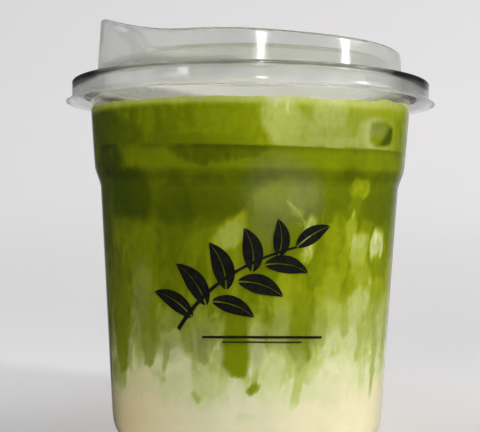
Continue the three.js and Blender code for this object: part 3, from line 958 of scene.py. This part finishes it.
def make_ice():
    bm = bmesh.new()
    cubes = (
        ((-20, -15, 83.9), (9.5, 9.0, 9.0), (0.16, 0.22, 0.5)),
        ((4, -25, 83.6), (9.0, 9.5, 8.6), (-0.18, 0.12, 1.1)),
        ((26, -8, 83.4), (9.5, 9.0, 9.2), (0.20, -0.16, 0.25)),
        ((1, -2, 84.2), (8.5, 9.0, 8.4), (0.05, 0.24, 0.8)),
        ((-25, 9, 83.0), (9.0, 8.5, 9.0), (-0.22, 0.05, 0.15)),
        ((17, 20, 83.8), (9.5, 9.0, 8.8), (0.14, 0.18, 1.3)),
        ((-7, 25, 83.2), (9.0, 9.5, 9.0), (0.25, -0.10, 0.55)),
    )
    for k, (c, h, t) in enumerate(cubes):
        rounded_cube(bm, c, np.array(h), t, 3.7 * k)
    return finish_mesh(bm, "ice_cubes")


def make_bubbles():
    """Bubbles in the froth's surface: small ones along the wall, and more of mixed size, mostly small, all over the
    top.
    """
    one = bmesh.new()
    bmesh.ops.create_icosphere(one, subdivisions=2, radius=1.0)
    ball = np.array([v.co[:] for v in one.verts]) * (1, 1, 0.75)
    tris = np.array([[v.index for v in f.verts] for f in one.faces])
    one.free()
    rng = np.random.default_rng(21)
    verts, faces = [], []
    for k in range(520):
        phi = rng.uniform(-math.pi, math.pi)
        if k < 200:  # along the wall
            size = rng.uniform(0.18, 0.45)
            r = 44.7 - size - rng.uniform(0, 1.0)
            sink = -0.3
        else:
            size = 0.22 + 0.75 * rng.random() ** 3
            r = 43 * math.sqrt(rng.random())
            sink = 0.2
        z = float(froth_top(r, np.array([phi]))[0]) + size * sink
        faces.append(tris + 42 * k)
        verts.append((ball * size + (r * math.sin(phi), -r * math.cos(phi), z)) * MM)
    assert len(ball) == 42
    return mesh_object("froth_bubbles", np.vstack(verts), [tuple(int(i) for i in f) for f in np.vstack(faces)])


# ---------------------------------------------------------------- materials
def material(name):
    m = bpy.data.materials.new(name)
    m.use_nodes = True
    m.node_tree.nodes.clear()
    return m, m.node_tree


def link(t, a, b):
    t.links.new(a, b)


def clear_plastic(name, tint, rough, wave, ior):
    m, t = material(name)
    out = t.nodes.new("ShaderNodeOutputMaterial")
    p = t.nodes.new("ShaderNodeBsdfPrincipled")
    # the attribute carries painted shade where the plastic is bent tightly or seen edge on, and tints it where foam has
    # wetted it
    col = t.nodes.new("ShaderNodeAttribute")
    col.attribute_name = "tint"
    mul = t.nodes.new("ShaderNodeVectorMath")
    mul.operation = "MULTIPLY"
    mul.inputs[1].default_value = tint
    link(t, col.outputs["Color"], mul.inputs[0])
    link(t, mul.outputs[0], p.inputs["Base Color"])
    p.inputs["Transmission Weight"].default_value = 1.0
    p.inputs["IOR"].default_value = ior
    p.inputs["Roughness"].default_value = rough
    tex = t.nodes.new("ShaderNodeTexCoord")
    mp = t.nodes.new("ShaderNodeMapping")
    mp.inputs["Scale"].default_value = (1, 1, 0.45)
    link(t, tex.outputs["Object"], mp.inputs["Vector"])
    n = t.nodes.new("ShaderNodeTexNoise")
    n.inputs["Scale"].default_value = 120
    n.inputs["Detail"].default_value = 2.0
    link(t, mp.outputs[0], n.inputs["Vector"])
    # faint flow lines of the moulding in gloss and relief
    r = t.nodes.new("ShaderNodeMapRange")
    r.inputs["To Min"].default_value = rough * 0.6
    r.inputs["To Max"].default_value = rough * 1.8
    link(t, n.outputs["Fac"], r.inputs["Value"])
    link(t, r.outputs[0], p.inputs["Roughness"])
    b = t.nodes.new("ShaderNodeBump")
    b.inputs["Strength"].default_value = wave
    b.inputs["Distance"].default_value = 0.0006
    link(t, n.outputs["Fac"], b.inputs["Height"])
    link(t, b.outputs[0], p.inputs["Normal"])
    # milkiness: light that is scattered forwards and back
    back = t.nodes.new("ShaderNodeBsdfDiffuse")
    back.inputs["Color"].default_value = (0.90, 0.90, 0.89, 1)
    on = t.nodes.new("ShaderNodeBsdfTranslucent")
    on.inputs["Color"].default_value = (0.90, 0.90, 0.89, 1)
    both = t.nodes.new("ShaderNodeMixShader")
    both.inputs["Fac"].default_value = 0.5
    link(t, back.outputs[0], both.inputs[1])
    link(t, on.outputs[0], both.inputs[2])
    milky = t.nodes.new("ShaderNodeMixShader")
    link(t, col.outputs["Alpha"], milky.inputs["Fac"])
    link(t, p.outputs[0], milky.inputs[1])
    link(t, both.outputs[0], milky.inputs[2])
    tr = t.nodes.new("ShaderNodeBsdfTransparent")
    tr.inputs["Color"].default_value = (0.93, 0.93, 0.93, 1)
    lp = t.nodes.new("ShaderNodeLightPath")
    mix = t.nodes.new("ShaderNodeMixShader")
    link(t, lp.outputs["Is Shadow Ray"], mix.inputs["Fac"])
    link(t, milky.outputs[0], mix.inputs[1])
    link(t, tr.outputs[0], mix.inputs[2])
    link(t, mix.outputs[0], out.inputs["Surface"])
    return m


def drink_material(name, grain, amount, rough, bump, gloss=0.03):
    m, t = material(name)
    out = t.nodes.new("ShaderNodeOutputMaterial")
    p = t.nodes.new("ShaderNodeBsdfPrincipled")
    col = t.nodes.new("ShaderNodeAttribute")
    col.attribute_name = "tint"
    tex = t.nodes.new("ShaderNodeTexCoord")
    n = t.nodes.new("ShaderNodeTexNoise")
    n.inputs["Scale"].default_value = grain
    n.inputs["Detail"].default_value = 4.0
    n.inputs["Roughness"].default_value = 0.6
    link(t, tex.outputs["Object"], n.inputs["Vector"])
    # fine tea powder and foam: the colour goes a little up and down
    r = t.nodes.new("ShaderNodeMapRange")
    r.inputs["From Min"].default_value = 0.3
    r.inputs["From Max"].default_value = 0.7
    r.inputs["To Min"].default_value = 1 - amount
    r.inputs["To Max"].default_value = 1 + amount
    link(t, n.outputs["Fac"], r.inputs["Value"])
    mul = t.nodes.new("ShaderNodeVectorMath")
    mul.operation = "MULTIPLY"
    link(t, col.outputs["Color"], mul.inputs[0])
    link(t, r.outputs[0], mul.inputs[1])
    link(t, mul.outputs[0], p.inputs["Base Color"])
    p.inputs["Roughness"].default_value = rough
    p.inputs["Specular IOR Level"].default_value = gloss
    b = t.nodes.new("ShaderNodeBump")
    b.inputs["Strength"].default_value = bump
    b.inputs["Distance"].default_value = 0.0004
    link(t, n.outputs["Fac"], b.inputs["Height"])
    link(t, b.outputs[0], p.inputs["Normal"])
    link(t, p.outputs[0], out.inputs["Surface"])
    return m


def ink_material():
    m, t = material("ink")
    out = t.nodes.new("ShaderNodeOutputMaterial")
    p = t.nodes.new("ShaderNodeBsdfPrincipled")
    tex = t.nodes.new("ShaderNodeTexCoord")
    n = t.nodes.new("ShaderNodeTexNoise")
    n.inputs["Scale"].default_value = 900
    n.inputs["Detail"].default_value = 5.0
    link(t, tex.outputs["Object"], n.inputs["Vector"])
    # ink that is a little thinner in small spots
    c = t.nodes.new("ShaderNodeValToRGB")
    c.color_ramp.elements[0].position, c.color_ramp.elements[1].position = 0.40, 0.75
    c.color_ramp.elements[0].color = (0.0075, 0.008, 0.006, 1)
    c.color_ramp.elements[1].color = (0.020, 0.023, 0.012, 1)
    link(t, n.outputs["Fac"], c.inputs["Fac"])
    link(t, c.outputs["Color"], p.inputs["Base Color"])
    r = t.nodes.new("ShaderNodeMapRange")
    r.inputs["To Min"].default_value = 0.38
    r.inputs["To Max"].default_value = 0.62
    link(t, n.outputs["Fac"], r.inputs["Value"])
    link(t, r.outputs[0], p.inputs["Roughness"])
    p.inputs["Specular IOR Level"].default_value = 0.2
    b = t.nodes.new("ShaderNodeBump")
    b.inputs["Strength"].default_value = 0.1
    b.inputs["Distance"].default_value = 0.0001
    link(t, n.outputs["Fac"], b.inputs["Height"])
    link(t, b.outputs[0], p.inputs["Normal"])
    link(t, p.outputs[0], out.inputs["Surface"])
    return m


def wet_material(name, dark, light, scale, rough, transmission):
    """Ice or bubble skin that the tea has wetted: cloudy inside, smooth outside."""
    m, t = material(name)
    out = t.nodes.new("ShaderNodeOutputMaterial")
    p = t.nodes.new("ShaderNodeBsdfPrincipled")
    tex = t.nodes.new("ShaderNodeTexCoord")
    n = t.nodes.new("ShaderNodeTexNoise")
    n.inputs["Scale"].default_value = scale
    n.inputs["Detail"].default_value = 4.0
    link(t, tex.outputs["Object"], n.inputs["Vector"])
    c = t.nodes.new("ShaderNodeValToRGB")
    c.color_ramp.elements[0].position, c.color_ramp.elements[1].position = 0.35, 0.68
    c.color_ramp.elements[0].color = (*dark, 1)
    c.color_ramp.elements[1].color = (*light, 1)
    link(t, n.outputs["Fac"], c.inputs["Fac"])
    link(t, c.outputs["Color"], p.inputs["Base Color"])
    p.inputs["IOR"].default_value = 1.31
    p.inputs["Transmission Weight"].default_value = transmission
    p.inputs["Roughness"].default_value = rough
    b = t.nodes.new("ShaderNodeBump")
    b.inputs["Strength"].default_value = 0.2
    b.inputs["Distance"].default_value = 0.0003
    link(t, n.outputs["Fac"], b.inputs["Height"])
    link(t, b.outputs[0], p.inputs["Normal"])
    link(t, p.outputs[0], out.inputs["Surface"])
    return m


# ---------------------------------------------------------------- stage
def make_stage():
    back, depth, width, bend = 0.9, -1.4, 3.0, 0.45
    line = [(depth, 0.0)] + [(y, 0.0) for y in np.linspace(-0.6, back, 12)]
    line += [(back + bend * math.sin(a), bend * (1 - math.cos(a))) for a in np.linspace(0, math.pi / 2, 24)[1:]]
    line += [(back + bend, 3.0)]
    verts, faces = [], []
    for y, z in line:
        verts += [(-width, y, z), (width, y, z)]
    for k in range(len(line) - 1):
        faces.append((2 * k, 2 * k + 1, 2 * k + 3, 2 * k + 2))
    o = mesh_object("floor", verts, faces)
    m, t = material("floor_pale")
    out = t.nodes.new("ShaderNodeOutputMaterial")
    p = t.nodes.new("ShaderNodeBsdfPrincipled")
    p.inputs["Base Color"].default_value = (0.62, 0.605, 0.612, 1)
    p.inputs["Roughness"].default_value = 0.9
    p.inputs["Specular IOR Level"].default_value = 0.1
    # the back of the sweep glows evenly, as a lit studio wall does
    p.inputs["Emission Color"].default_value = (1.0, 0.985, 0.992, 1)
    tex = t.nodes.new("ShaderNodeTexCoord")
    sep = t.nodes.new("ShaderNodeSeparateXYZ")
    link(t, tex.outputs["Object"], sep.inputs[0])
    r = t.nodes.new("ShaderNodeMapRange")
    r.inputs["From Min"].default_value = -0.2
    r.inputs["From Max"].default_value = 1.35
    link(t, sep.outputs["Y"], r.inputs["Value"])
    c = t.nodes.new("ShaderNodeValToRGB")
    c.color_ramp.interpolation = "B_SPLINE"
    stops = ((-0.2, 0.06), (-0.1, 0.12), (0.0, 0.34), (0.05, 0.45), (0.12, 0.395), (0.3, 0.41), (0.65, 0.495), (0.85, 0.53), (1.0, 0.51), (1.3, 0.445))
    for k, (y, e) in enumerate(stops):
        el = c.color_ramp.elements[k] if k < 2 else c.color_ramp.elements.new(0.99)
        el.position, el.color = (y + 0.2) / 1.55, (e, e, e, 1)
    link(t, r.outputs[0], c.inputs["Fac"])
    link(t, c.outputs["Color"], p.inputs["Emission Strength"])
    link(t, p.outputs[0], out.inputs["Surface"])
    o.data.materials.append(m)
    o.visible_glossy = o.visible_diffuse = False
    return o


def area(name, pos, target, size, power, colour=(1, 1, 1)):
    d = bpy.data.lights.new(name, "AREA")
    d.shape = "RECTANGLE"
    d.size, d.size_y = size
    d.energy = power
    d.color = colour
    o = bpy.data.objects.new(name, d)
    bpy.context.scene.collection.objects.link(o)
    o.location = pos
    o.rotation_euler = (Vector(target) - Vector(pos)).to_track_quat("-Z", "Y").to_euler()
    return o


def polar(az, dist, height):
    """A place az degrees to the right of the camera's side of the cup."""
    a = math.radians(az)
    return (dist * math.sin(a), -dist * math.cos(a), height)


def make_light():
    w = bpy.data.worlds.new("studio")
    bpy.context.scene.world = w
    w.use_nodes = True
    bg = w.node_tree.nodes["Background"]
    bg.inputs[0].default_value = (0.95, 0.97, 1.0, 1)
    # the room is dim in front of the cup and pale behind it
    t = w.node_tree
    tex = t.nodes.new("ShaderNodeTexCoord")
    dot = t.nodes.new("ShaderNodeVectorMath")
    dot.operation = "DOT_PRODUCT"
    dot.inputs[1].default_value = (math.sin(math.radians(7)), math.cos(math.radians(7)), 0)
    link(t, tex.outputs["Generated"], dot.inputs[0])
    r = t.nodes.new("ShaderNodeMapRange")
    r.interpolation_type = "SMOOTHSTEP"
    r.inputs["From Min"].default_value = 0.78
    r.inputs["From Max"].default_value = 0.99
    r.inputs["To Min"].default_value = 0.045
    r.inputs["To Max"].default_value = 0.55
    link(t, dot.outputs["Value"], r.inputs["Value"])
    link(t, r.outputs[0], bg.inputs[1])
    for key in (
        area("key_right", polar(73.5, 2.5, 1.06), (0, 0, 0.10), (0.44, 0.50), 36.0),
        area("key_front", polar(7, 2.5, 1.06), (0, 0, 0.10), (0.30, 0.50), 16.5),
    ):
        key.visible_glossy = False
    # cards that show only as reflections in the plastic
    for name, az, height, size, power in (
        ("window_left", -39.5, 0.40, (0.27, 0.09), 2.6),
        ("card_front", 7, 1.00, (0.21, 0.366), 8.5),
        ("card_right", 72.5, 0.96, (0.28, 0.46), 14.0),
    ):
        card = area(name, polar(az, 2.45, height), (0, 0, 0.10), size, power)
        card.visible_diffuse = card.visible_transmission = False
    fill = area("fill_left", polar(-38, 1.8, 0.8), (0, 0, 0.06), (1.2, 1.0), 6.5)
    fill.visible_glossy = False
    top = area("top", (0.1, -0.2, 1.6), (0, 0.0, 0), (1.2, 1.2), 4.0)
    top.visible_glossy = False
    sc = bpy.context.scene
    sc.view_settings.view_transform = "Standard"
    sc.view_settings.look = "None"
    sc.view_settings.exposure = 0
    sc.cycles.max_bounces = 24
    sc.cycles.transmission_bounces = 20
    sc.cycles.transparent_max_bounces = 24
    sc.cycles.glossy_bounces = 8
    sc.cycles.diffuse_bounces = 4


# ---------------------------------------------------------------- build
cup = lathe("cup_clear", lambda a, p=cup_profile(): p, SEG)
sharpen(cup, 60)
lid = make_lid()
milk, tea, froth = make_drink()

paint_plastic(cup, cup_tint_and_shade)
paint_plastic(lid, lid_tint_and_shade, lid_haze)
pet = clear_plastic("cup_plastic", (0.975, 0.98, 0.97), 0.03, 0.05, 1.34)
pet_lid = clear_plastic("lid_plastic", (0.97, 0.97, 0.965), 0.08, 0.10, 1.34)
milk_mat = drink_material("milk", 260, 0.03, 0.5, 0.05)
tea_mat = drink_material("matcha", 420, 0.08, 0.5, 0.05)
froth_mat = drink_material("froth", 620, 0.055, 0.6, 0.25)

for o, mat, node, slot in (
    (cup, pet, "cup", "cup_plastic"),
    (lid, pet_lid, "lid", "lid_plastic"),
    (milk, milk_mat, "milk", "milk"),
    (tea, tea_mat, "matcha", "matcha"),
    (froth, froth_mat, "froth", "froth"),
):
    o.data.materials.clear()
    o.data.materials.append(mat)
    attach(o, "root")
    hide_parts(node)

for o, mat, slot in (
    (make_print(), ink_material(), "cup_plastic"),
    (make_ice(), wet_material("wet_ice", (0.30, 0.40, 0.10), (0.62, 0.68, 0.40), 180, 0.12, 0.55), "froth"),
    (make_bubbles(), wet_material("bubble_skin", (0.42, 0.52, 0.10), (0.60, 0.66, 0.24), 500, 0.10, 0.35), "froth"),
):
    o.data.materials.append(mat)
    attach(o, "root")

# the open top of the froth is wet and glossy, and its side lies against the plastic
froth.data.materials.append(drink_material("froth_top", 620, 0.055, 0.38, 0.25, 0.5))
for f in froth.data.polygons:
    x, y, z = f.center
    f.material_index = int(z > 0.088 and math.hypot(x, y) < 0.0441)

make_stage()
make_light()
